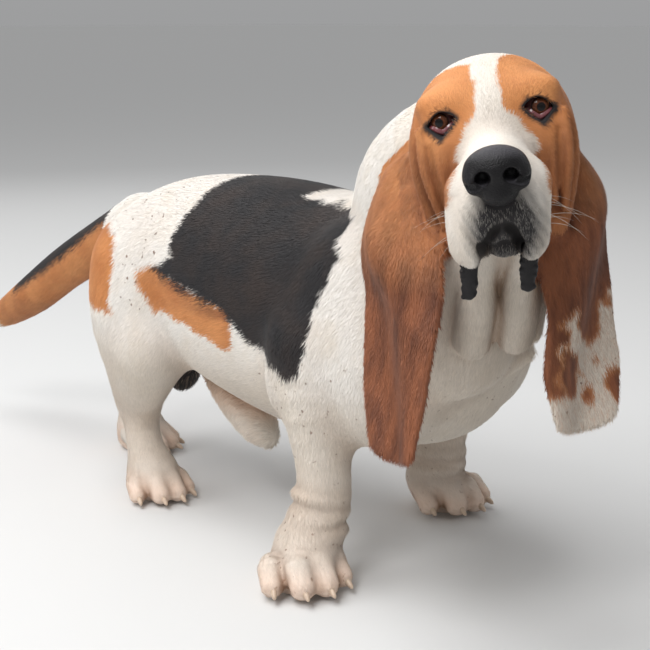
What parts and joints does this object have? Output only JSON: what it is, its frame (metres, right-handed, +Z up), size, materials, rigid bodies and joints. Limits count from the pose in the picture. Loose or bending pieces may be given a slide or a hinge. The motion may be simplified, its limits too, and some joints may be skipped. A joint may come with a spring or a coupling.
{
  "type": "basset hound",
  "caption": "Life-size still model of a basset hound: long low body on short legs, head turned to its right, long hanging ears, tail held out behind.",
  "frame": {"origin": "middle of the box round the dog, on the floor", "axes": "+Z up; the trunk lies along Y and the dog faces -Y; its left side is +X"},
  "size_m": [0.425, 1.078, 0.5229],
  "materials": {
    "white_coat": "short smooth white coat with faint ticking",
    "tan_coat": "short orange-tan coat of the head, with a white blaze in the render",
    "ear_coat": "short chestnut coat of the ears",
    "black_coat": "short black coat of the saddle",
    "pink_skin": "thin pink skin under sparse white hair",
    "dark_skin": "dark bare skin",
    "nose_leather": "moist black nose leather",
    "eye": "wet brown eye",
    "claw": "pale horn"
  },
  "bodies": {
    "root": {"claw_front_left_1": "claw", "claw_front_left_2": "claw", "claw_front_left_3": "claw", "claw_front_left_4": "claw", "claw_front_right_1": "claw", "claw_front_right_2": "claw", "claw_front_right_3": "claw", "claw_front_right_4": "claw", "claw_hind_left_1": "claw", "claw_hind_left_2": "claw", "claw_hind_left_3": "claw", "claw_hind_left_4": "claw", "claw_hind_right_1": "claw", "claw_hind_right_2": "claw", "claw_hind_right_3": "claw", "claw_hind_right_4": "claw", "ear_left": "ear_coat", "ear_right": "ear_coat", "eye_left": "eye", "eye_right": "eye", "front_leg_left": "white_coat", "front_leg_right": "white_coat", "front_paw_left": "white_coat", "front_paw_right": "white_coat", "head": "tan_coat", "hind_leg_left": "white_coat", "hind_leg_right": "white_coat", "hind_paw_left": "white_coat", "hind_paw_right": "white_coat", "lip_left": "dark_skin", "lip_right": "dark_skin", "neck": "white_coat", "nose": "nose_leather", "scrotum": "dark_skin", "sheath": "pink_skin", "tail": "white_coat", "torso": "black_coat"}
  },
  "joints": []
}
